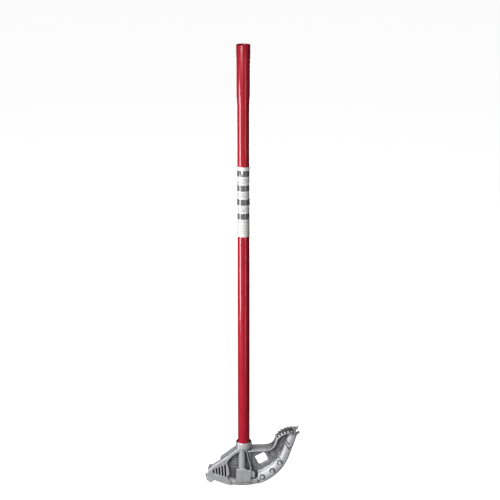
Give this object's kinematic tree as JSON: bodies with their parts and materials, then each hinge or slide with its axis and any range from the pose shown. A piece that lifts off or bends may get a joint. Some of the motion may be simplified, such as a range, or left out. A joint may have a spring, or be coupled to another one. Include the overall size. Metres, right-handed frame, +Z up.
{
  "type": "conduit bender",
  "caption": "Hand conduit bender: cast shoe with a curved groove, hook and studded foot pedal on a long red pipe handle with an open end.",
  "frame": {"origin": "lowest point of the groove's crown on the handle's axis, where the head sits on the conduit", "axes": "+Z up along the handle, +X towards the foot pedal, -Y towards the side with the hook plate"},
  "size_m": [0.2148, 0.0364, 1.0081],
  "materials": {
    "cast_aluminium": "as cast, satin",
    "red_paint": "semi-gloss paint",
    "label_film": "printed film"
  },
  "bodies": {
    "root": {"bender_head": "cast_aluminium", "handle_tube": "red_paint", "handle_label": "label_film"}
  },
  "joints": []
}
